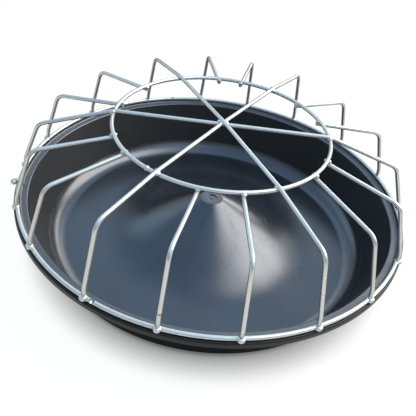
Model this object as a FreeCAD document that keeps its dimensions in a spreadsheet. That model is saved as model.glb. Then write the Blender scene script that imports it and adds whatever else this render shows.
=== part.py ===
import FreeCAD, Part
import math
import os
import Sketcher

# Round poultry feeder: a black moulded pan with a feed channel round a centre cone,
# and a galvanised wire cage that rests on the pan's rim and lifts straight off.
# Origin: middle of the pan's underside, on the ground. +Z up, -Y towards the front.

DRIVING_SIZES = [
    # pan
    ("pan_height", 62.7),          # ground to the seat that carries the cage
    ("mouth_inset", 9.1),          # top edge of the bowl's wall, inside the middle of the outer ring
    ("rim_reach", 3.6),            # outside of the rounded lip, past the middle of the outer ring
    ("land_inset", 3.7),           # where the seat steps up from the inner part of the flange
    ("land_step", 1.1),            # height of that step
    ("flange_thickness", 2.6),
    ("lip_depth", 6.2),            # top of the lip to the foot of its skirt
    ("lip_thickness", 2.4),
    ("lip_round", 1.8),
    ("mouth_round", 1.4),
    ("armpit_round", 1.5),         # where the wall's outside meets the flange
    ("gutter_round", 1.0),         # inside the lip, under the flange
    ("edge_round", 0.8),           # foot of the skirt and edge of the hub
    ("wall_thickness", 3.2),
    ("wall_lean", 21.0),           # degrees from upright
    ("channel_bend", 20.0),        # inside radius from the channel's floor up to the wall
    ("cone_slope", 30.0),          # degrees from level
    ("cone_blend", 106.0),         # hollow radius that runs the cone out into the channel
    ("hub_height", 51.3),          # ground to the disc on top of the cone
    ("hub_radius", 12.3),
    ("recess_radius", 5.4),
    ("recess_depth", 1.0),
    ("gate_radius", 1.6),          # stub left by moulding in the middle of the recess
    ("gate_height", 0.6),
    # cage
    ("wire_diameter", 4.0),
    ("ring_radius", 200.0),        # outer ring, to the middle of its wire
    ("seat_gap", 0.3),             # outer ring above its seat
    ("inner_ring_radius", 108.0),
    ("cage_height", 74.8),         # middle of the outer ring to the middle of the inner ring
    ("corner_inset", 16.5),        # where a spoke turns from post to top run
    ("corner_tall", 69.5),         # corner above the outer ring: front and back spokes
    ("corner_mid", 62.0),          # diagonal spokes
    ("corner_low", 59.0),          # side spokes
    ("spoke_bend", 13.0),
    ("foot_rise", 9.0),            # upright stretch at the foot of a post
    ("foot_bend", 20.0),
    ("spoke_drop", 3.4),           # short spokes under the inner ring, middle to middle
    ("spoke_overhang", 2.4),       # cut end past the middle of the inner ring
    ("long_rise", 2.6),            # long wires over the inner ring, middle to middle
    ("cross_step", 1.7),           # from one long wire to the next where all three cross
    ("low_wire_corner", 52.0),     # corners of the three long wires above the outer ring
    ("middle_wire_corner", 69.5),
    ("top_wire_corner", 66.0),
    ("crossing_bend", 18.0),
    ("spokes_round", 18),
    # welds
    ("foot_radius", 3.6),          # spoke end squashed onto the ring
    ("foot_height", 4.4),
    ("foot_round", 1.58),          # edge of the squashed end
    ("foot_shift", 1.1),           # outwards from the middle of the ring's wire
    ("butt_radius", 2.7),          # upset where a ring's wire is joined to itself
    # clip over the rim
    ("clip_wire", 3.0),
    ("clip_inset", 3.6),           # inner leg inside the middle of the ring's wire
    ("clip_reach", 1.8),           # knob's middle past the lip
    ("clip_bend", 2.1),
    ("clip_sink", 0.6),            # how far the weld lets the clip into the ring
    ("knob_radius", 3.1),
    ("knob_lift", 0.4),            # knob's middle above the middle of the ring's wire
]

# Levels and radii that several pieces share, as formulas of the driving sizes.
RIM_RADIUS = "(Sizes.ring_radius + Sizes.rim_reach)"
LAND_RADIUS = "(Sizes.ring_radius - Sizes.land_inset)"
MOUTH_RADIUS = "(Sizes.ring_radius - Sizes.mouth_inset)"
CORNER_RADIUS = "(Sizes.ring_radius - Sizes.corner_inset)"
MOUTH_LEVEL = "(Sizes.pan_height - Sizes.land_step)"
FLANGE_UNDERSIDE = f"({MOUTH_LEVEL} - Sizes.flange_thickness)"
SKIRT_LEVEL = "(Sizes.pan_height - Sizes.lip_depth)"
WALL_RUN = "tan(Sizes.wall_lean * 1 deg)"
WALL_OFFSET = "Sizes.wall_thickness / cos(Sizes.wall_lean * 1 deg)"
CONE_RISE = "tan(Sizes.cone_slope * 1 deg)"
CONE_OFFSET = "Sizes.wall_thickness / cos(Sizes.cone_slope * 1 deg)"
OUTER_BEND = "Sizes.channel_bend + Sizes.wall_thickness"
UNDER_BLEND = "Sizes.cone_blend + Sizes.wall_thickness"
RING_LEVEL = "(Sizes.pan_height + Sizes.seat_gap + Sizes.wire_diameter / 2)"
INNER_RING_LEVEL = f"({RING_LEVEL} + Sizes.cage_height)"
FOOT_TOP = f"({RING_LEVEL} + Sizes.foot_rise)"
LONG_WIRE_LEVEL = f"({INNER_RING_LEVEL} + Sizes.long_rise)"
CLIP_ARCH = f"({RING_LEVEL} + Sizes.wire_diameter / 2 + Sizes.clip_wire / 2 - Sizes.clip_sink)"
CLIP_OUTSIDE = f"({RIM_RADIUS} + Sizes.clip_reach)"
SPOKE_PITCH = "(360 / Sizes.spokes_round)"

# Where things stand round the pan: a place is counted in spoke pitches from +X.
CROSSING_WIRES = [
    # name, place, corner height, steps up from the lowest wire at the crossing, degrees of stray
    ("long_wire_low", 0, "Sizes.low_wire_corner", 0, 1.0),
    ("long_wire_middle", 3, "Sizes.middle_wire_corner", 1, 0.9),
    ("long_wire_top", 6, "Sizes.top_wire_corner", 2, -1.1),
]
SHORT_SPOKES = [
    # place, corner height, degrees by which the hand-set wire strays from its place,
    # degrees by which it is turned about its own foot, away from the pan's middle
    (1, "Sizes.corner_low", -1.5, -3.0),
    (2, "Sizes.corner_mid", -0.6, -3.3),
    (4, "Sizes.corner_tall", 0.0, -1.1),
    (5, "Sizes.corner_tall", -1.8, 4.4),
    (7, "Sizes.corner_mid", 2.3, -0.3),
    (8, "Sizes.corner_low", 4.6, -3.0),
    (10, "Sizes.corner_mid", 1.4, 0.0),
    (11, "Sizes.corner_low", -1.7, 0.9),
    (13, "Sizes.corner_tall", 0.3, -1.4),
    (14, "Sizes.corner_tall", -0.5, -3.0),
    (16, "Sizes.corner_low", -2.9, -8.2),
    (17, "Sizes.corner_low", -3.9, -4.8),
]
CLIP_PLACE = 9.5
OUTER_BUTT_PLACE = 12.17
INNER_BUTT_PLACE = 11.75

CUT_CLEARANCE = 5          # how far the bowl's cut runs on above the pan
MOST_LEFT_OF_BLANK = 0.3   # share of the solid blank that the cut pan stays under

doc = FreeCAD.newDocument("PoultryFeeder")


def makeSheet():
    sheet = doc.addObject("Spreadsheet::Sheet", "Sizes")
    for row, (alias, value) in enumerate(DRIVING_SIZES, start=1):
        sheet.set(f"A{row}", alias.replace("_", " "))
        sheet.set(f"B{row}", str(value))
        sheet.setAlias(f"B{row}", alias)
    doc.recompute()


def makeBody(name):
    body = doc.addObject("PartDesign::Body", name)
    body.Label = name
    return body


def makeSketch(body, name, role):
    sketch = body.newObject("Sketcher::SketchObject", name)
    for plane in body.Origin.OriginFeatures:
        if plane.Role == role:
            sketch.AttachmentSupport = (plane, [""])
    sketch.MapMode = "FlatFace"
    return sketch


def bindConstraint(sketch, name, constraint, formula):
    sketch.renameConstraint(sketch.addConstraint(constraint), name)
    sketch.setExpression(f"Constraints.{name}", formula)


def pinPoint(sketch, name, geometry, end, across, along):
    """Holds one point of a sketch at two formulas, measured from the sketch's origin."""
    for letter, kind, axis, formula in (("x", "DistanceX", -2, across), ("y", "DistanceY", -1, along)):
        if formula == "0":
            sketch.addConstraint(Sketcher.Constraint("PointOnObject", geometry, end, axis))
        else:
            value = sketch.evalExpression(formula)
            constraint = Sketcher.Constraint(kind, -1, 1, geometry, end, float(value))
            bindConstraint(sketch, f"{name}_{letter}", constraint, formula)


def drawCorners(sketch, corners, closed):
    """Draws straight runs through named corners, each sharp or rounded by an arc.

    A corner is (name, across, along, bend), all formulas, with bend None where it is sharp.
    A rounded corner keeps a construction point where its two runs would meet.
    """
    count = len(corners)
    spots = []
    for name, across, along, bend in corners:
        place = [float(sketch.evalExpression(formula)) for formula in (across, along)]
        spots.append(FreeCAD.Vector(*place, 0))

    entries = list(spots)
    exits = list(spots)
    arcs = {}
    for number, (name, across, along, bend) in enumerate(corners):
        if bend is None:
            continue
        radius = float(sketch.evalExpression(bend))
        back = (spots[number - 1] - spots[number]).normalize()
        ahead = (spots[(number + 1) % count] - spots[number]).normalize()
        half_angle = back.getAngle(ahead) / 2
        tangent_length = radius / math.tan(half_angle)
        entries[number] = spots[number] + back * tangent_length
        exits[number] = spots[number] + ahead * tangent_length
        centre = spots[number] + (back + ahead).normalize() * (radius / math.sin(half_angle))
        turns_left = ahead.cross(back).z > 0
        first, last = (entries[number], exits[number]) if turns_left else (exits[number], entries[number])
        start_angle = math.atan2(first.y - centre.y, first.x - centre.x)
        end_angle = math.atan2(last.y - centre.y, last.x - centre.x)
        circle = Part.Circle(centre, FreeCAD.Vector(0, 0, 1), radius)
        arc = sketch.addGeometry(Part.ArcOfCircle(circle, start_angle, end_angle), False)
        arcs[number] = (arc, 1 if turns_left else 2, 2 if turns_left else 1)

    runs = {}
    last_run = count if closed else count - 1
    for number in range(last_run):
        after = (number + 1) % count
        runs[number] = sketch.addGeometry(Part.LineSegment(exits[number], entries[after]), False)

    for number, (name, across, along, bend) in enumerate(corners):
        before = runs.get((number - 1) % count)
        after = runs.get(number)
        if number not in arcs:
            if before is not None and after is not None:
                sketch.addConstraint(Sketcher.Constraint("Coincident", before, 2, after, 1))
            if after is not None:
                pinPoint(sketch, name, after, 1, across, along)
            else:
                pinPoint(sketch, name, before, 2, across, along)
            continue
        arc, entry_end, exit_end = arcs[number]
        point = sketch.addGeometry(Part.Point(spots[number]), True)
        pinPoint(sketch, name, point, 1, across, along)
        sketch.addConstraint(Sketcher.Constraint("PointOnObject", point, 1, before))
        sketch.addConstraint(Sketcher.Constraint("PointOnObject", point, 1, after))
        sketch.addConstraint(Sketcher.Constraint("Tangent", before, 2, arc, entry_end))
        sketch.addConstraint(Sketcher.Constraint("Tangent", arc, exit_end, after, 1))
        radius = float(sketch.evalExpression(bend))
        bindConstraint(sketch, f"{name}_bend", Sketcher.Constraint("Radius", arc, radius), bend)


def spinOutline(body, name, kind, corners):
    """Turns a closed outline, drawn in the upright plane, once round the upright axis."""
    sketch = makeSketch(body, f"{name}Outline", "XZ_Plane")
    drawCorners(sketch, corners, closed=True)
    feature = body.newObject(kind, name)
    feature.Profile = sketch
    feature.ReferenceAxis = (sketch, ["V_Axis"])
    feature.Angle = 360
    return feature


def wallRadius(level, offset="0"):
    """Radius of the bowl's wall at a level: its inside, or its outside with the wall's offset."""
    return f"{MOUTH_RADIUS} - ({MOUTH_LEVEL} - {level}) * {WALL_RUN} + {offset}"


def coneRadius(level, offset="0"):
    """Radius of the cone at a level: its top side, or its underside with the cone's offset."""
    return f"Sizes.hub_radius + (Sizes.hub_height - {offset} - {level}) / {CONE_RISE}"


def makePan():
    body = makeBody("pan")
    blank = [
        ("middle_bottom", "0", "0", None),
        ("base", wallRadius("0", WALL_OFFSET), "0", OUTER_BEND),
        ("armpit", wallRadius(FLANGE_UNDERSIDE, WALL_OFFSET), FLANGE_UNDERSIDE, "Sizes.armpit_round"),
        ("gutter", f"{RIM_RADIUS} - Sizes.lip_thickness", FLANGE_UNDERSIDE, "Sizes.gutter_round"),
        ("skirt_inside", f"{RIM_RADIUS} - Sizes.lip_thickness", SKIRT_LEVEL, None),
        ("skirt_outside", RIM_RADIUS, SKIRT_LEVEL, "Sizes.edge_round"),
        ("lip", RIM_RADIUS, "Sizes.pan_height", "Sizes.lip_round"),
        ("middle_top", "0", "Sizes.pan_height", None),
    ]
    spinOutline(body, "PanBlank", "PartDesign::Revolution", blank)
    doc.recompute()
    blank_volume = body.Shape.Volume

    above = f"(Sizes.pan_height + {CUT_CLEARANCE})"
    recess_floor = "(Sizes.hub_height - Sizes.recess_depth)"
    bowl = [
        ("axis_bottom", "0", f"{recess_floor} + Sizes.gate_height", None),
        ("gate_top", "Sizes.gate_radius", f"{recess_floor} + Sizes.gate_height", None),
        ("gate_foot", "Sizes.gate_radius", recess_floor, None),
        ("recess_foot", "Sizes.recess_radius", recess_floor, None),
        ("recess_edge", "Sizes.recess_radius", "Sizes.hub_height", None),
        ("hub_edge", "Sizes.hub_radius", "Sizes.hub_height", "Sizes.edge_round"),
        ("cone_foot", coneRadius("Sizes.wall_thickness"), "Sizes.wall_thickness", "Sizes.cone_blend"),
        ("wall_foot", wallRadius("Sizes.wall_thickness"), "Sizes.wall_thickness", "Sizes.channel_bend"),
        ("mouth", MOUTH_RADIUS, MOUTH_LEVEL, "Sizes.mouth_round"),
        ("land_foot", LAND_RADIUS, MOUTH_LEVEL, None),
        ("land_edge", f"{LAND_RADIUS} + Sizes.land_step", "Sizes.pan_height", None),
        ("outer_top", f"{LAND_RADIUS} + Sizes.land_step", above, None),
        ("axis_top", "0", above, None),
    ]
    spinOutline(body, "Bowl", "PartDesign::Groove", bowl)

    hollow = [
        ("axis_foot", "0", "0", None),
        ("hollow_foot", f"{coneRadius('0', CONE_OFFSET)}", "0", UNDER_BLEND),
        ("hollow_edge", f"{coneRadius('(Sizes.hub_height - Sizes.wall_thickness)', CONE_OFFSET)}",
         "Sizes.hub_height - Sizes.wall_thickness", None),
        ("axis_roof", "0", "Sizes.hub_height - Sizes.wall_thickness", None),
    ]
    spinHollow(body, hollow)
    doc.recompute()
    if body.Shape.Volume > MOST_LEFT_OF_BLANK * blank_volume:
        raise RuntimeError("the bowl or the hollow under the cone was not cut")
    return body


def spinHollow(body, corners):
    """Cuts the space under the cone, whose rounded foot runs out tangent to the flat base."""
    name, across, along, bend = corners[1]
    start = ("hollow_start", f"{across} + {bend} * tan(Sizes.cone_slope * 0.5 deg)", "0", None)
    spinOutline(body, "UnderCone", "PartDesign::Groove", [corners[0], start] + corners[1:])


def sweepWire(body, name, corners, diameter):
    """Sweeps round wire along an open path in the upright plane that starts straight up."""
    path = makeSketch(body, f"{name}Path", "XZ_Plane")
    drawCorners(path, corners, closed=False)
    end = makeSketch(body, f"{name}Section", "XY_Plane")
    start_across, start_along = corners[0][1], corners[0][2]
    end.setExpression("AttachmentOffset.Base.z", start_along)
    radius = float(end.evalExpression(diameter)) / 2
    centre = FreeCAD.Vector(float(end.evalExpression(start_across)), 0, 0)
    circle = end.addGeometry(Part.Circle(centre, FreeCAD.Vector(0, 0, 1), radius), False)
    pinPoint(end, "start", circle, 3, start_across, "0")
    bindConstraint(end, "wire", Sketcher.Constraint("Radius", circle, radius), f"{diameter} / 2")
    sweep = body.newObject("PartDesign::AdditivePipe", name)
    sweep.Profile = end
    sweep.Spine = (path, [])
    return sweep


def squashFoot(body, name, side):
    """Squashes a wire's end onto the outer ring: a thick round-edged disc a little outside it."""
    sketch = makeSketch(body, f"{name}Outline", "XZ_Plane")
    sketch.setExpression("AttachmentOffset.Base.x", f"{side} * (Sizes.ring_radius + Sizes.foot_shift)")
    low = f"{RING_LEVEL} - Sizes.wire_diameter / 2"
    high = f"{low} + Sizes.foot_height"
    corners = [
        ("low_middle", "0", low, None),
        ("low_edge", "Sizes.foot_radius", low, "Sizes.foot_round"),
        ("high_edge", "Sizes.foot_radius", high, "Sizes.foot_round"),
        ("high_middle", "0", high, None),
    ]
    drawCorners(sketch, corners, closed=True)
    foot = body.newObject("PartDesign::Revolution", name)
    foot.Profile = sketch
    foot.ReferenceAxis = (sketch, ["V_Axis"])
    foot.Angle = 360


def addBall(body, name, radius, across, level):
    ball = body.newObject("PartDesign::AdditiveSphere", name)
    for plane in body.Origin.OriginFeatures:
        if plane.Role == "XY_Plane":
            ball.AttachmentSupport = (plane, [""])
    ball.MapMode = "FlatFace"
    ball.setExpression("AttachmentOffset.Base.x", across)
    ball.setExpression("AttachmentOffset.Base.z", level)
    ball.setExpression("Radius", radius)


def turnToPlace(body, place, stray=0.0, twist=0.0):
    """Turns a piece about the upright axis to its place, and by its twist about its own foot."""
    foot_angle = f"({place} * {SPOKE_PITCH} + {stray})"
    whole_angle = f"({foot_angle} + {twist})"
    body.Placement = FreeCAD.Placement(FreeCAD.Vector(), FreeCAD.Rotation(FreeCAD.Vector(0, 0, 1), 1))
    body.setExpression("Placement.Rotation.Angle", whole_angle)
    for axis, wave in (("x", "cos"), ("y", "sin")):
        shift = f"Sizes.ring_radius * ({wave}({foot_angle} * 1 deg) - {wave}({whole_angle} * 1 deg))"
        body.setExpression(f"Placement.Base.{axis}", shift)


def makeRing(name, radius, level, butt_place, butt_lift):
    """A ring of wire with the small upset of its own butt weld."""
    body = makeBody(name)
    sketch = makeSketch(body, "RingSection", "XZ_Plane")
    centre = FreeCAD.Vector(float(sketch.evalExpression(radius)), float(sketch.evalExpression(level)), 0)
    wire_radius = float(sketch.evalExpression("Sizes.wire_diameter / 2"))
    circle = sketch.addGeometry(Part.Circle(centre, FreeCAD.Vector(0, 0, 1), wire_radius), False)
    pinPoint(sketch, "centre", circle, 3, radius, level)
    wire = Sketcher.Constraint("Radius", circle, wire_radius)
    bindConstraint(sketch, "wire", wire, "Sizes.wire_diameter / 2")
    ring = body.newObject("PartDesign::Revolution", "Ring")
    ring.Profile = sketch
    ring.ReferenceAxis = (sketch, ["V_Axis"])
    ring.Angle = 360
    addBall(body, "ButtWeld", "Sizes.butt_radius", radius, f"{level} + {butt_lift}")
    turnToPlace(body, butt_place)
    return body


def makeLongWire(name, place, corner, steps, stray):
    """A wire from foot to foot, over the inner ring and through the crossing at the middle."""
    body = makeBody(name)
    corner_level = f"{RING_LEVEL} + {corner}"
    crossing = f"{LONG_WIRE_LEVEL} + Sizes.cross_step * {steps}"
    half = [
        ("foot", "Sizes.ring_radius", RING_LEVEL, None),
        ("knee", "Sizes.ring_radius", FOOT_TOP, "Sizes.foot_bend"),
        ("corner", CORNER_RADIUS, corner_level, "Sizes.spoke_bend"),
        ("rest", "Sizes.inner_ring_radius", LONG_WIRE_LEVEL, "Sizes.crossing_bend"),
    ]
    far = [(f"far_{spot}", f"-{across}", level, bend) for spot, across, level, bend in reversed(half)]
    middle = [("crossing", "0", crossing, "Sizes.crossing_bend")] if steps else []
    sweepWire(body, "LongWire", half + middle + far, "Sizes.wire_diameter")
    squashFoot(body, "Foot", 1)
    squashFoot(body, "FarFoot", -1)
    turnToPlace(body, place, stray)
    return body


def makeShortSpoke(name, place, corner, stray, twist):
    """A post up from the outer ring that bends over and ends under the inner ring."""
    body = makeBody(name)
    end_radius = "(Sizes.inner_ring_radius - Sizes.spoke_overhang)"
    aside = f"(Sizes.ring_radius * sin({twist} * 1 deg))"
    cut_end = f"Sizes.ring_radius * (1 - cos({twist} * 1 deg)) + sqrt({end_radius}^2 - {aside}^2)"
    path = [
        ("foot", "Sizes.ring_radius", RING_LEVEL, None),
        ("knee", "Sizes.ring_radius", FOOT_TOP, "Sizes.foot_bend"),
        ("corner", CORNER_RADIUS, f"{RING_LEVEL} + {corner}", "Sizes.spoke_bend"),
        ("cut_end", cut_end, f"{INNER_RING_LEVEL} - Sizes.spoke_drop", None),
    ]
    sweepWire(body, "Spoke", path, "Sizes.wire_diameter")
    squashFoot(body, "Foot", 1)
    turnToPlace(body, place, stray, twist)
    return body


def makeRimClip():
    """A staple over the outer ring: inner leg down to the seat, knob just outside the lip."""
    body = makeBody("rim_clip")
    inner_leg = "Sizes.ring_radius - Sizes.clip_inset"
    knob_level = f"{RING_LEVEL} + Sizes.knob_lift"
    path = [
        ("leg", inner_leg, "Sizes.pan_height + Sizes.seat_gap", None),
        ("inner_bend", inner_leg, CLIP_ARCH, "Sizes.clip_bend"),
        ("outer_bend", CLIP_OUTSIDE, CLIP_ARCH, "Sizes.clip_bend"),
        ("knob", CLIP_OUTSIDE, knob_level, None),
    ]
    sweepWire(body, "Staple", path, "Sizes.clip_wire")
    addBall(body, "Knob", "Sizes.knob_radius", CLIP_OUTSIDE, knob_level)
    turnToPlace(body, CLIP_PLACE)
    return body


def makeFeeder():
    pieces = [makePan()]
    ring_lift = "(Sizes.butt_radius - Sizes.wire_diameter / 2)"
    pieces.append(makeRing("outer_ring", "Sizes.ring_radius", RING_LEVEL, OUTER_BUTT_PLACE, ring_lift))
    pieces.append(makeRing("inner_ring", "Sizes.inner_ring_radius", INNER_RING_LEVEL, INNER_BUTT_PLACE, "0"))
    for name, place, corner, steps, stray in CROSSING_WIRES:
        pieces.append(makeLongWire(name, place, corner, steps, stray))
    for number, (place, corner, stray, twist) in enumerate(SHORT_SPOKES, start=1):
        pieces.append(makeShortSpoke(f"short_spoke_{number:02d}", place, corner, stray, twist))
    pieces.append(makeRimClip())
    return pieces


def checkDocument(pieces):
    for item in doc.Objects:
        if "Invalid" in item.State or "Error" in item.State:
            raise RuntimeError(f"{item.Name} did not build")
    for piece in pieces:
        if piece.Shape.isNull() or not piece.Shape.isValid() or len(piece.Shape.Solids) != 1:
            raise RuntimeError(f"{piece.Label} is not one sound solid")


makeSheet()
feeder = makeFeeder()
doc.recompute()
checkDocument(feeder)
os.makedirs("parts", exist_ok=True)
for piece in feeder:
    piece.Shape.exportStep(f"parts/{piece.Label}.step")
    print(f"{piece.Label}: {piece.Shape.Volume / 1000:.2f} cm3")
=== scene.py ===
import bpy
import bmesh
import math
import random
from mathutils import Matrix, Quaternion, Vector, noise


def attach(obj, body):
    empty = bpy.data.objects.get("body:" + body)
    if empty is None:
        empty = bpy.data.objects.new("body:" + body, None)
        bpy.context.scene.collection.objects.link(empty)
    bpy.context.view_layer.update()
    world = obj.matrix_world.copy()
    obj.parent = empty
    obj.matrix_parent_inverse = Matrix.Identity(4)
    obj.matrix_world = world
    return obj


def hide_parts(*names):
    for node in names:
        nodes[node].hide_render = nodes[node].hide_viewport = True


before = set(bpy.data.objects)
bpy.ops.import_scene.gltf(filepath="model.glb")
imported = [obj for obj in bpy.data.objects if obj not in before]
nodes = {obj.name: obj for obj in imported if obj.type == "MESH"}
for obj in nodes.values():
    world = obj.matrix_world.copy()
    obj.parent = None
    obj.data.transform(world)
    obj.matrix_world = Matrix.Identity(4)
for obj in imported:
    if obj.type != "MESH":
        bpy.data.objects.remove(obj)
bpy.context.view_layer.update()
print("frame loaded:", len(nodes), "nodes")


# small helpers

mixFirst, mixSecond, mixResult = 6, 7, 2      # colour sockets of a Mix node


def newNodeMaterial(name):
    material = bpy.data.materials.new(name)
    material.use_nodes = True
    tree = material.node_tree
    shader = tree.nodes["Principled BSDF"]
    return material, tree, shader


def addNode(tree, kind, **values):
    node = tree.nodes.new(kind)
    for name, value in values.items():
        setattr(node, name, value)
    return node


def objectPlace(tree):
    return addNode(tree, "ShaderNodeTexCoord").outputs["Object"]


def combine(tree, operation, first, second):
    # first and second are each a socket or a number
    node = addNode(tree, "ShaderNodeMath", operation=operation)
    for socket, value in zip(node.inputs, (first, second)):
        if isinstance(value, float):
            socket.default_value = value
        else:
            tree.links.new(value, socket)
    return node.outputs[0]


def objectNoise(tree, place, scale, detail, roughness):
    grain = addNode(tree, "ShaderNodeTexNoise")
    grain.inputs["Scale"].default_value = scale
    grain.inputs["Detail"].default_value = detail
    grain.inputs["Roughness"].default_value = roughness
    tree.links.new(place, grain.inputs["Vector"])
    return grain.outputs["Fac"]


def spread(tree, source, low, high, fromLow=0.3, fromHigh=0.7):
    # a value between fromLow and fromHigh in, a value between low and high out
    mapRange = addNode(tree, "ShaderNodeMapRange")
    mapRange.inputs["From Min"].default_value = fromLow
    mapRange.inputs["From Max"].default_value = fromHigh
    mapRange.inputs["To Min"].default_value = low
    mapRange.inputs["To Max"].default_value = high
    tree.links.new(source, mapRange.inputs["Value"])
    return mapRange.outputs["Result"]


def blendColours(tree, factor, first, second):
    mix = addNode(tree, "ShaderNodeMix", data_type="RGBA")
    tree.links.new(factor, mix.inputs["Factor"])
    for socket, colour in ((mixFirst, first), (mixSecond, second)):
        if isinstance(colour, tuple):
            mix.inputs[socket].default_value = (*colour, 1.0)
        else:
            tree.links.new(colour, mix.inputs[socket])
    return mix.outputs[mixResult]


def addBump(tree, shader, height, strength, distance, before=None):
    bump = addNode(tree, "ShaderNodeBump")
    bump.inputs["Strength"].default_value = strength
    bump.inputs["Distance"].default_value = distance
    tree.links.new(height, bump.inputs["Height"])
    if before is not None:
        tree.links.new(before, bump.inputs["Normal"])
    tree.links.new(bump.outputs["Normal"], shader.inputs["Normal"])
    return bump.outputs["Normal"]


def finishMesh(name, mesh, body, materials):
    piece = bpy.data.objects.new(name, mesh)
    bpy.context.scene.collection.objects.link(piece)
    for material in materials:
        mesh.materials.append(material)
    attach(piece, body)
    return piece


# finishes: a noise is its scale per metre, its detail and its roughness; one that runs in circles has
# two scales, around the axis and across; a bump is its strength and its depth in metres

def cloudyColour(tree, place, look):
    cloud = objectNoise(tree, place, *look["cloud"])
    return cloud, blendColours(tree, cloud, look["dark"], look["light"])


def aroundAxis(tree, place, around, across):
    # position told as turn about the axis and distance from it, so that marks run in circles
    split = addNode(tree, "ShaderNodeSeparateXYZ")
    tree.links.new(place, split.inputs[0])
    flat = addNode(tree, "ShaderNodeCombineXYZ")
    tree.links.new(split.outputs["X"], flat.inputs["X"])
    tree.links.new(split.outputs["Y"], flat.inputs["Y"])
    reach = addNode(tree, "ShaderNodeVectorMath", operation="LENGTH")
    tree.links.new(flat.outputs[0], reach.inputs[0])
    unit = addNode(tree, "ShaderNodeVectorMath", operation="NORMALIZE")
    tree.links.new(flat.outputs[0], unit.inputs[0])
    wide = addNode(tree, "ShaderNodeVectorMath", operation="SCALE")
    wide.inputs["Scale"].default_value = around
    tree.links.new(unit.outputs[0], wide.inputs[0])
    lift = addNode(tree, "ShaderNodeCombineXYZ")
    tree.links.new(combine(tree, "MULTIPLY", reach.outputs["Value"], across), lift.inputs["Z"])
    both = addNode(tree, "ShaderNodeVectorMath", operation="ADD")
    tree.links.new(wide.outputs[0], both.inputs[0])
    tree.links.new(lift.outputs[0], both.inputs[1])
    return both.outputs[0]


def circleNoise(tree, place, around, across, detail, roughness):
    return objectNoise(tree, aroundAxis(tree, place, around, across), 1.0, detail, roughness)


bowlLook = {
    "dark": (0.006, 0.008, 0.011),
    "light": (0.010, 0.0125, 0.0165),
    "cloud": (14.0, 4.0, 0.6),           # broad patches
    "rough": (0.22, 0.29),
    "density": 1.6,                      # index of refraction
    "specular": 1.0,
    "grain": (620.0, 2.0, 0.5),          # fine moulded grain
    "grainBump": (0.40, 0.0001),
    "scuffs": (2.5, 900.0, 3.0, 0.7),    # run in circles: few to a turn, many across
    "scuffRange": (0.52, 0.78),          # the part of the noise that shows
    "patches": (34.0, 2.0, 0.6),         # where the scuffs gather
    "patchRange": (0.52, 0.72),
    "worn": (0.015, 0.016, 0.017),
    "wornRough": 0.05,                   # added to the roughness where it is scuffed
    "turning": (0.8, 420.0, 2.0, 0.6),   # faint lines that run in circles
    "turningBump": (0.05, 0.00005),
}


def bowlPlastic(look):
    # smooth inside of the black moulding: cloudy from handling, with fine scuffs that run in circles
    material, tree, shader = newNodeMaterial("bowlPlastic")
    place = objectPlace(tree)
    cloud, colour = cloudyColour(tree, place, look)
    scuffs = circleNoise(tree, place, *look["scuffs"])
    patches = objectNoise(tree, place, *look["patches"])
    worn = combine(tree, "MULTIPLY", spread(tree, scuffs, 0.0, 1.0, *look["scuffRange"]),
                   spread(tree, patches, 0.0, 1.0, *look["patchRange"]))
    tree.links.new(blendColours(tree, worn, colour, look["worn"]), shader.inputs["Base Color"])
    rough = combine(tree, "ADD", spread(tree, cloud, *look["rough"]),
                    combine(tree, "MULTIPLY", worn, look["wornRough"]))
    tree.links.new(rough, shader.inputs["Roughness"])
    shader.inputs["IOR"].default_value = look["density"]
    shader.inputs["Specular IOR Level"].default_value = look["specular"]
    lines = addBump(tree, shader, circleNoise(tree, place, *look["turning"]), *look["turningBump"])
    addBump(tree, shader, objectNoise(tree, place, *look["grain"]), *look["grainBump"], lines)
    return material


# the steep wall inside is duller than the floor and cone, rubbed by feed and beaks
wallLook = {
    "dark": (0.016, 0.016, 0.0155), "light": (0.025, 0.025, 0.0245), "cloud": (18.0, 4.0, 0.6),
    "rough": (0.46, 0.54), "specular": 0.25, "grain": (1100.0, 2.0, 0.5), "grainBump": (0.12, 0.0001),
}

# the outside and underside are the same black, duller and a little coarser; darker in colour and nearly
# without gloss, as painted shade under the overhanging rim
outsideLook = {
    # darker than the bowl's black: painted shade under the rim
    "dark": (0.0042, 0.0043, 0.0044), "light": (0.0105, 0.0107, 0.0109), "cloud": (22.0, 4.0, 0.6),
    "rough": (0.48, 0.6), "specular": 0.015, "grain": (900.0, 2.0, 0.5), "grainBump": (0.25, 0.00015),
}

# the rounded lip is rubbed smoother than the wall under it
lipLook = {
    "dark": (0.011, 0.0112, 0.0115), "light": (0.017, 0.0173, 0.0176), "cloud": (40.0, 4.0, 0.6),
    "rough": (0.36, 0.46), "specular": 0.3, "grain": (1200.0, 2.0, 0.5), "grainBump": (0.2, 0.0001),
}


def plainPlastic(name, look):
    material, tree, shader = newNodeMaterial(name)
    place = objectPlace(tree)
    cloud, colour = cloudyColour(tree, place, look)
    tree.links.new(colour, shader.inputs["Base Color"])
    tree.links.new(spread(tree, cloud, *look["rough"]), shader.inputs["Roughness"])
    shader.inputs["Specular IOR Level"].default_value = look["specular"]
    addBump(tree, shader, objectNoise(tree, place, *look["grain"]), *look["grainBump"])
    return material


flangeLook = {
    # lighter and bluer than the bowl's black: partly rubbed dull, partly painted reflection of the sky
    "dark": (0.024, 0.027, 0.030),
    "light": (0.044, 0.048, 0.050),
    "cloud": (30.0, 4.0, 0.6),
    "grooves": (1.2, 2600.0, 2.0, 0.6),   # faint turning lines round the flange
    "grooveRange": (0.45, 0.65),
    "grooveShare": 0.6,
    "grooveBump": (0.25, 0.0001),
    "rough": (0.42, 0.54),
}


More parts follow.
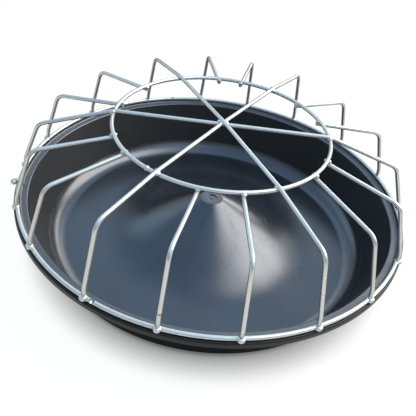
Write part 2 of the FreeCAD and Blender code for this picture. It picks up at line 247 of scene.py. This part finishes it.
def flangePlastic(look):
    # top of the flange, rubbed dull by the cage, with faint lines that run round it; its light, bluish
    # colour is partly painted reflection of the sky
    material, tree, shader = newNodeMaterial("flangePlastic")
    place = objectPlace(tree)
    tone = cloudyColour(tree, place, look)[1]
    lines = circleNoise(tree, place, *look["grooves"])
    share = spread(tree, lines, 0.0, look["grooveShare"], *look["grooveRange"])
    tree.links.new(blendColours(tree, share, tone, look["light"]), shader.inputs["Base Color"])
    tree.links.new(spread(tree, lines, *look["rough"]), shader.inputs["Roughness"])
    shader.inputs["IOR"].default_value = bowlLook["density"]
    shader.inputs["Specular IOR Level"].default_value = bowlLook["specular"]
    addBump(tree, shader, lines, *look["grooveBump"])
    return material


zincLook = {
    "bright": (0.98, 0.955, 0.875),
    "grey": (0.87, 0.85, 0.78),
    "paintedEdgeShade": (0.86, 0.86, 0.85),       # a tinted coat with no gloss, which darkens the wire's edges: painted shade
    # a near-black gloss tint at grazing angles: painted shade on the wire's edges
    "rim": (0.05, 0.055, 0.06),
    "metallic": 0.7,
    "patches": (35.0, 5.0, 0.65),
    "rough": (0.34, 0.26),            # duller where it is greyer
    "stain": (0.22, 0.20, 0.17),
    "stains": (210.0, 3.0, 0.6),
    "stainRange": (0.68, 0.78),
    "stainShare": 0.35,
    "lumps": (420.0, 2.0, 0.5),
    "lumpBump": (0.05, 0.0001),
    "burnt": (0.03, 0.028, 0.026),
    # burnt marks of the welding: where, and how far they spread
    "marks": [((-0.0332, -0.1960, 0.0804), 0.0021), ((-0.0654, 0.1873, 0.0674), 0.0019),
              ((0.0327, -0.1989, 0.0669), 0.0012), ((0.0961, -0.1767, 0.0668), 0.0012)],
}


def burntMarks(tree, place):
    # 1 at each mark, fading to 0 round it
    total = None
    for spot, size in zincLook["marks"]:
        gap = addNode(tree, "ShaderNodeVectorMath", operation="DISTANCE")
        gap.inputs[1].default_value = spot
        tree.links.new(place, gap.inputs[0])
        mark = spread(tree, gap.outputs["Value"], 1.0, 0.0, size / 2, size)
        total = mark if total is None else combine(tree, "MAXIMUM", total, mark)
    return total


def brightZinc(look):
    # bright zinc on drawn wire: patches, small lumps, a few dull stains; a tinted coat and a near-black
    # gloss tint darken the wire's edges as painted shade
    material, tree, shader = newNodeMaterial("brightZinc")
    place = objectPlace(tree)
    patches = objectNoise(tree, place, *look["patches"])
    colour = blendColours(tree, spread(tree, patches, 0.0, 1.0), look["grey"], look["bright"])
    stains = objectNoise(tree, place, *look["stains"])
    stained = spread(tree, stains, 0.0, look["stainShare"], *look["stainRange"])
    colour = blendColours(tree, stained, colour, look["stain"])
    colour = blendColours(tree, burntMarks(tree, place), colour, look["burnt"])
    tree.links.new(colour, shader.inputs["Base Color"])
    shader.inputs["Metallic"].default_value = look["metallic"]
    # the gloss tint and the coat below darken the wire's edges: painted shade
    shader.inputs["Specular Tint"].default_value = (*look["rim"], 1.0)
    shader.inputs["Coat Weight"].default_value = 1.0
    shader.inputs["Coat IOR"].default_value = 1.0       # the coat has no gloss of its own: it only darkens the edges, as painted shade
    shader.inputs["Coat Tint"].default_value = (*look["paintedEdgeShade"], 1.0)
    tree.links.new(spread(tree, patches, *look["rough"]), shader.inputs["Roughness"])
    addBump(tree, shader, objectNoise(tree, place, *look["lumps"]), *look["lumpBump"])
    return material


# the pan's finishes, in the order of the numbers that its outline gives
bowl, outside, flange, lip, wall = range(5)
panFinishes = [bowlPlastic(bowlLook), plainPlastic("outsidePlastic", outsideLook),
               flangePlastic(flangeLook), plainPlastic("lipPlastic", lipLook),
               plainPlastic("wallPlastic", wallLook)]
zincFinish = brightZinc(zincLook)
print("finishes ready")


# the pan

panShape = {
    "height": 0.0627, "mouth": 0.1909, "rim": 0.2036, "land": 0.1963, "landStep": 0.0011,
    "flange": 0.0026, "lipDepth": 0.0062, "lipWall": 0.0024, "wall": 0.0032, "lean": math.radians(21),
    "slope": math.radians(30), "hubTop": 0.0513, "hub": 0.0123,
    "recess": 0.0054, "recessDepth": 0.0010, "gate": 0.0016, "gateHeight": 0.0006,
    # how far each corner is rounded
    "channelBend": 0.020, "coneBlend": 0.106, "lipRound": 0.0018, "mouthRound": 0.0014, "armpit": 0.0015,
    "gutter": 0.0010, "edge": 0.0008, "roofRound": 0.0006, "skirtRound": 0.0004, "landRound": 0.0003,
    "recessRound": 0.0003, "gateRound": 0.0002,
    # how finely it is drawn
    "turns": 288, "bendStep": math.radians(4), "fewestSteps": 3, "sharp": math.radians(40),
}


def roundCorners(corners):
    # corners: (across, up, bend, finish before it, finish on it if another); a bend of 0 stays sharp
    points = []
    for number, (across, up, bend, finish, *onBend) in enumerate(corners):
        here = Vector((across, up))
        if not bend:
            points.append((here, finish))
            continue
        back = (Vector(corners[number - 1][:2]) - here).normalized()
        ahead = (Vector(corners[(number + 1) % len(corners)][:2]) - here).normalized()
        half = back.angle(ahead) / 2
        reach = bend / math.tan(half)
        centre = here + (back + ahead).normalized() * (bend / math.sin(half))
        first = here + back * reach - centre
        turn = first.angle_signed(here + ahead * reach - centre)
        count = max(panShape["fewestSteps"], math.ceil(abs(turn) / panShape["bendStep"]))
        for step in range(count + 1):
            angle = -turn * step / count
            spot = Vector((first.x * math.cos(angle) - first.y * math.sin(angle),
                           first.x * math.sin(angle) + first.y * math.cos(angle)))
            points.append((centre + spot, onBend[0] if onBend and step else finish))
    return points


def panOutline():
    # half of the pan's section, from the middle of the recess out over the lip and back underneath
    s = panShape
    mouthLevel = s["height"] - s["landStep"]
    underFlange = mouthLevel - s["flange"]
    skirtLevel = s["height"] - s["lipDepth"]
    skirtIn = s["rim"] - s["lipWall"]
    wallOut = s["wall"] / math.cos(s["lean"])
    coneOut = s["wall"] / math.cos(s["slope"])
    floor = s["hubTop"] - s["recessDepth"]
    gateTop = floor + s["gateHeight"]
    roof = s["hubTop"] - s["wall"]

    def wallAt(level, offset=0.0):
        return s["mouth"] - (mouthLevel - level) * math.tan(s["lean"]) + offset

    def coneAt(level, offset=0.0):
        return s["hub"] + (s["hubTop"] - offset - level) / math.tan(s["slope"])

    corners = [
        (0.0, gateTop, 0, bowl),
        (s["gate"], gateTop, s["gateRound"], bowl),
        (s["gate"], floor, s["gateRound"], bowl),
        (s["recess"], floor, s["recessRound"], bowl),
        (s["recess"], s["hubTop"], s["recessRound"], bowl),
        (s["hub"], s["hubTop"], s["edge"], bowl),
        (coneAt(s["wall"]), s["wall"], s["coneBlend"], bowl),
        (wallAt(s["wall"]), s["wall"], s["channelBend"], bowl),
        (s["mouth"], mouthLevel, s["mouthRound"], wall, bowl),
        (s["land"], mouthLevel, s["landRound"], flange),
        (s["land"] + s["landStep"], s["height"], s["landRound"], flange),
        (s["rim"], s["height"], s["lipRound"], lip),
        (s["rim"], skirtLevel, s["edge"], lip),
        (skirtIn, skirtLevel, s["skirtRound"], outside),
        (skirtIn, underFlange, s["gutter"], outside),
        (wallAt(underFlange, wallOut), underFlange, s["armpit"], outside),
        (wallAt(0.0, wallOut), 0.0, s["channelBend"] + s["wall"], outside),
        (coneAt(0.0, coneOut), 0.0, s["coneBlend"] + s["wall"], outside),
        (coneAt(roof, coneOut), roof, s["roofRound"], outside),
        (0.0, roof, 0, outside),
    ]
    return roundCorners(corners)


def spinPan():
    shell = bmesh.new()
    turns = panShape["turns"]
    rings = []
    for spot, finish in panOutline():
        if spot.x < 1e-6:         # on the axis
            rings.append(([shell.verts.new((0, 0, spot.y))], finish))
            continue
        ring = []
        for step in range(turns):
            angle = 2 * math.pi * step / turns
            ring.append(shell.verts.new((spot.x * math.cos(angle), spot.x * math.sin(angle), spot.y)))
        rings.append((ring, finish))
    for (lower, _), (upper, finish) in zip(rings, rings[1:]):
        for step in range(turns):
            after = (step + 1) % turns
            if len(lower) == 1:
                corners = (lower[0], upper[step], upper[after])
            elif len(upper) == 1:
                corners = (lower[step], upper[0], lower[after])
            else:
                corners = (lower[step], upper[step], upper[after], lower[after])
            face = shell.faces.new(corners)
            face.smooth = True
            face.material_index = finish
    bmesh.ops.recalc_face_normals(shell, faces=shell.faces)
    mesh = bpy.data.meshes.new("feedPan")
    shell.to_mesh(mesh)
    shell.free()
    piece = finishMesh("feedPan", mesh, "pan", panFinishes)
    mesh.set_sharp_from_angle(angle=panShape["sharp"])
    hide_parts("pan")


spinPan()
print("pan spun")


# the cage

for name, node in nodes.items():
    if name != "pan":
        node.data.materials.clear()
        node.data.materials.append(zincFinish)
        for polygon in node.data.polygons:
            polygon.use_smooth = True
print("cage coated")

cageShape = {
    "ring": 0.200, "ringLevel": 0.0650, "innerRing": 0.108, "innerLevel": 0.1398,
    "spokeDrop": 0.0034, "longRise": 0.0026, "spacing": 20,
    # place counted in spacings, stray and twist in degrees
    "shortSpokes": [(1, -1.5, -3.0), (2, -0.6, -3.3), (4, 0.0, -1.1), (5, -1.8, 4.4),
                    (7, 2.3, -0.3), (8, 4.6, -3.0), (10, 1.4, 0.0), (11, -1.7, 0.9),
                    (13, 0.3, -1.4), (14, -0.5, -3.0), (16, -2.9, -8.2), (17, -3.9, -4.8)],
    # place and stray of the long wires' ends
    "longEnds": [(0, 1.0), (9, 1.0), (3, 0.9), (12, 0.9), (6, -1.1), (15, -1.1)],
}

beadLook = {
    "seed": 7,
    "detail": 3,
    "spokeSize": 0.0031,          # half a lump's length, before it is stretched
    "longSize": 0.00372,
    "middleSize": 0.00341,
    "footSize": 0.002242,
    "long": (1.0, 1.35),          # stretched along, across and upwards by chance
    "wide": (0.85, 1.05),
    "tall": (0.7, 0.85),
    "swell": 0.10,                # uneven by this share, over waves of this many to a radius
    "waves": 2.2,
    "noiseSpan": 50,              # each lump takes its waves from its own spot in the noise
    "spokeSink": 0.4,             # share of the way down from the ring to the spoke
    "longTurn": math.radians(45),
    "middleSpot": (0.0020, -0.0010, 0.0041),    # off the middle and above the inner ring
    "middleTurn": 0.6,
    "footRun": (0.011, 0.016),    # how far a foot's weld runs along the ring, in radians
    "footOut": 0.0003,
}


def around(angle, reach, level):
    return Vector((reach * math.cos(angle), reach * math.sin(angle), level))


def spokeAngle(place, stray):
    return math.radians(cageShape["spacing"] * place + stray)


def ringCrossing(place, stray, twist=0):
    # where a spoke's line meets the inner ring's circle, seen from above
    aim = spokeAngle(place, stray) + math.radians(twist)
    foot = around(spokeAngle(place, stray), cageShape["ring"], 0)
    inward = -around(aim, 1, 0)
    toMiddle = -foot.dot(inward)
    reach = toMiddle - math.sqrt(cageShape["innerRing"] ** 2 - (foot.length ** 2 - toMiddle ** 2))
    return foot + inward * reach, aim


def layBead(shell, middle, heading, size, chance):
    # a small uneven lump of weld, longer along the wire than across it
    start = len(shell.verts)
    bmesh.ops.create_icosphere(shell, subdivisions=beadLook["detail"], radius=1.0)
    shell.verts.ensure_lookup_table()
    turn = Matrix.Rotation(heading, 3, "Z")
    offset = Vector([chance.uniform(0, beadLook["noiseSpan"]) for axis in range(3)])
    stretch = Vector([size * chance.uniform(*beadLook[way]) for way in ("long", "wide", "tall")])
    for vert in shell.verts[start:]:
        swell = 1 + beadLook["swell"] * noise.noise(vert.co * beadLook["waves"] + offset)
        local = Vector((vert.co.x * stretch.x, vert.co.y * stretch.y, vert.co.z * stretch.z)) * swell
        vert.co = middle + turn @ local


def layBeads():
    chance = random.Random(beadLook["seed"])
    shell = bmesh.new()
    inner = cageShape["innerLevel"]
    for place, stray, twist in cageShape["shortSpokes"]:
        spot, aim = ringCrossing(place, stray, twist)
        spot.z = inner - cageShape["spokeDrop"] * beadLook["spokeSink"]
        layBead(shell, spot, aim, beadLook["spokeSize"], chance)
    for place, stray in cageShape["longEnds"]:
        spot, aim = ringCrossing(place, stray)
        spot.z = inner + cageShape["longRise"] / 2
        layBead(shell, spot, aim + beadLook["longTurn"], beadLook["longSize"], chance)
    aside, along, rise = beadLook["middleSpot"]
    for side in (-1, 1):          # where the three long wires cross
        spot = Vector((aside * side, along * side, inner + rise))
        layBead(shell, spot, beadLook["middleTurn"] * side, beadLook["middleSize"], chance)
    feet = [(place, stray) for place, stray, twist in cageShape["shortSpokes"]] + cageShape["longEnds"]
    for place, stray in feet:
        angle = spokeAngle(place, stray)
        for side in (-1, 1):      # at each foot the weld has run a little along the ring
            spot = around(angle + side * chance.uniform(*beadLook["footRun"]),
                          cageShape["ring"] + beadLook["footOut"], cageShape["ringLevel"])
            layBead(shell, spot, angle + math.pi / 2, beadLook["footSize"], chance)
    for face in shell.faces:
        face.smooth = True
    mesh = bpy.data.meshes.new("weldBeads")
    shell.to_mesh(mesh)
    shell.free()
    finishMesh("weldBeads", mesh, "cage", [zincFinish])


layBeads()
print("welds laid")


# room, light and camera

roomLook = {
    "floorSize": 8.0,
    "floorColour": (0.05, 0.045, 0.040),
    # the floor's white, for straight and mirrored sight only: in the open, and close to the pan, where
    # ambient occlusion darkens it as a painted contact shadow
    "floorLift": 0.965,
    "paintedShadowLift": 0.085,
    "paintedShadowRange": (0.22, 0.68),
    "paintedShadowReach": 0.056,
    "paintedShadowSamples": 16,
    "skyTop": (0.38, 0.62, 0.98),
    "skyFront": (0.20, 0.20, 0.195),
    "backdrop": (0.60, 0.63, 0.66),
    "backdropRange": (0.35, 0.95),    # from the front's colour to the backdrop's, going back
    "topRange": (0.25, 0.75),         # and from there to the top's, going up
}

# bright parts of the sky; each edge is (across which way, dark at, full at), measured as a dot product
skyWindows = {
    "tallWindow": {
        "light": (5.1, 5.03, 4.9),
        "edges": [((-0.118, 0.941, 0.318), -0.12, 0.12), ((0.6636, -0.7284, 0.1725), -0.01, 0.08),
                  ((0, 0, 1), 0.03, 0.20), ((0.791, 0.212, 0.574), 0.66, 0.98)],
    },
    "lowWindow": {
        "light": (4.3, 4.33, 4.33),
        "edges": [((-0.799, 0.602, 0), -0.03, 0.03), ((0.985, -0.174, 0), -0.25, 0.30),
                  ((0, 0, 1), 0.46, 0.39), ((0, 0, 1), -0.03, 0.03)],
    },
    "sideWindow": {
        "light": (1.8, 1.8, 1.8),
        "edges": [((-0.951, 0.309, 0), -0.02, 0.07), ((0.999, -0.052, 0), -0.16, 0.04),
                  ((0, 0, 1), 0.66, 0.54), ((0, 0, 1), 0.38, 0.44)],
    },
    "blueSide": {
        "light": (0.42, 0.66, 0.88),
        "edges": [((-0.756, 0.528, 0.387), 0.74, 0.95), ((-0.788, -0.616, 0), -0.08, 0.08),
                  ((0, 0, 1), 0.66, 0.54)],
    },
    "frontGlow": {
        "light": (0.48, 0.57, 0.66),
        "edges": [((0.4545, -0.4545, 0.766), 0.88, 0.98)],
    },
    "backGlow": {
        "light": (0.22, 0.30, 0.36),
        "edges": [((-0.0726, 0.6909, 0.7193), 0.90, 0.985)],
    },
    "darkGap": {
        "light": (-0.20, -0.25, -0.30),
        "edges": [((-0.927, -0.375, 0), -0.06, 0.06), ((0.788, 0.616, 0), -0.10, 0.10),
                  ((0, 0, 1), 0.30, 0.38), ((0, 0, 1), 0.85, 0.72)],
    },
}


def seenStraight(tree):
    # 1 for rays from the camera and for mirrored or passing rays, 0 for the light that falls on things
    rays = addNode(tree, "ShaderNodeLightPath").outputs
    seen = combine(tree, "MAXIMUM", rays["Is Camera Ray"], rays["Is Glossy Ray"])
    return combine(tree, "MAXIMUM", seen, rays["Is Transmission Ray"])


def layFloor():
    half = roomLook["floorSize"] / 2
    mesh = bpy.data.meshes.new("floor")
    corners = [(-half, -half, 0), (half, -half, 0), (half, half, 0), (-half, half, 0)]
    mesh.from_pydata(corners, [], [(0, 1, 2, 3)])
    floor = bpy.data.objects.new("floor", mesh)
    bpy.context.scene.collection.objects.link(floor)
    material, tree, shader = newNodeMaterial("whiteFloor")
    output = tree.nodes["Material Output"]
    tree.nodes.remove(shader)
    matt = addNode(tree, "ShaderNodeBsdfDiffuse")
    matt.inputs["Color"].default_value = (*roomLook["floorColour"], 1.0)
    # ambient occlusion darkens the floor's white near the pan: a painted contact shadow; the dim diffuse
    # part keeps the real shadow
    paintedShadow = addNode(tree, "ShaderNodeAmbientOcclusion", samples=roomLook["paintedShadowSamples"])
    paintedShadow.inputs["Distance"].default_value = roomLook["paintedShadowReach"]
    lift = spread(tree, paintedShadow.outputs["AO"], roomLook["paintedShadowLift"], roomLook["floorLift"],
                  *roomLook["paintedShadowRange"])
    glow = addNode(tree, "ShaderNodeEmission")
    tree.links.new(combine(tree, "MULTIPLY", seenStraight(tree), lift), glow.inputs["Strength"])
    both = addNode(tree, "ShaderNodeAddShader")
    tree.links.new(matt.outputs[0], both.inputs[0])
    tree.links.new(glow.outputs[0], both.inputs[1])
    tree.links.new(both.outputs[0], output.inputs["Surface"])
    mesh.materials.append(material)


def windowShare(tree, direction, edges):
    # 1 inside all the edges of a window, 0 outside any of them, soft between
    share = None
    for way, dark, full in edges:
        side = addNode(tree, "ShaderNodeVectorMath", operation="DOT_PRODUCT")
        side.inputs[1].default_value = way
        tree.links.new(direction, side.inputs[0])
        rise = addNode(tree, "ShaderNodeMapRange", interpolation_type="SMOOTHSTEP")
        rise.inputs["From Min"].default_value = min(dark, full)
        rise.inputs["From Max"].default_value = max(dark, full)
        rise.inputs["To Min"].default_value = 0.0 if full > dark else 1.0
        rise.inputs["To Max"].default_value = 1.0 if full > dark else 0.0
        tree.links.new(side.outputs["Value"], rise.inputs["Value"])
        edge = rise.outputs["Result"]
        share = edge if share is None else combine(tree, "MULTIPLY", share, edge)
    return share


def hangSky():
    # blue overhead, grey towards the front, a pale backdrop low down behind the feeder, and the windows;
    # the camera itself sees plain white
    world = bpy.data.worlds.new("softSky")
    bpy.context.scene.world = world
    world.use_nodes = True
    tree = world.node_tree
    tree.nodes.clear()
    direction = addNode(tree, "ShaderNodeTexCoord").outputs["Generated"]
    split = addNode(tree, "ShaderNodeSeparateXYZ")
    tree.links.new(direction, split.inputs[0])
    behind = spread(tree, split.outputs["Y"], 0.0, 1.0, *roomLook["backdropRange"])
    low = blendColours(tree, behind, roomLook["skyFront"], roomLook["backdrop"])
    height = spread(tree, split.outputs["Z"], 0.0, 1.0, *roomLook["topRange"])
    colour = blendColours(tree, height, low, roomLook["skyTop"])
    for window in skyWindows.values():
        add = addNode(tree, "ShaderNodeMix", data_type="RGBA", blend_type="ADD")
        tree.links.new(windowShare(tree, direction, window["edges"]), add.inputs["Factor"])
        tree.links.new(colour, add.inputs[mixFirst])
        add.inputs[mixSecond].default_value = (*window["light"], 1.0)
        colour = add.outputs[mixResult]
    sky = addNode(tree, "ShaderNodeBackground")
    tree.links.new(colour, sky.inputs["Color"])
    white = addNode(tree, "ShaderNodeBackground")
    white.inputs["Color"].default_value = (1.0, 1.0, 1.0, 1.0)
    rays = addNode(tree, "ShaderNodeLightPath")
    mix = addNode(tree, "ShaderNodeMixShader")
    tree.links.new(rays.outputs["Is Camera Ray"], mix.inputs["Fac"])
    tree.links.new(sky.outputs[0], mix.inputs[1])
    tree.links.new(white.outputs[0], mix.inputs[2])
    output = addNode(tree, "ShaderNodeOutputWorld")
    tree.links.new(mix.outputs[0], output.inputs["Surface"])


cameraSet = {
    "place": (-0.0158, -0.4738, 0.4085),
    "aim": (0.0221, 0.7858, -0.6181),
    "roll": math.radians(8.39),
    "lens": 47.13,
    "sensor": 36.0,
    "near": 0.01,
}


def standCamera():
    lens = bpy.data.cameras.new("camera")
    lens.lens = cameraSet["lens"]
    lens.sensor_width = cameraSet["sensor"]
    lens.clip_start = cameraSet["near"]
    camera = bpy.data.objects.new("camera", lens)
    bpy.context.scene.collection.objects.link(camera)
    camera.location = cameraSet["place"]
    level = Vector(cameraSet["aim"]).to_track_quat("-Z", "Y")
    camera.rotation_mode = "QUATERNION"
    camera.rotation_quaternion = level @ Quaternion((0, 0, 1), cameraSet["roll"])
    bpy.context.scene.camera = camera


layFloor()
hangSky()
standCamera()
bpy.context.scene.view_settings.view_transform = "Standard"
print("room lit")
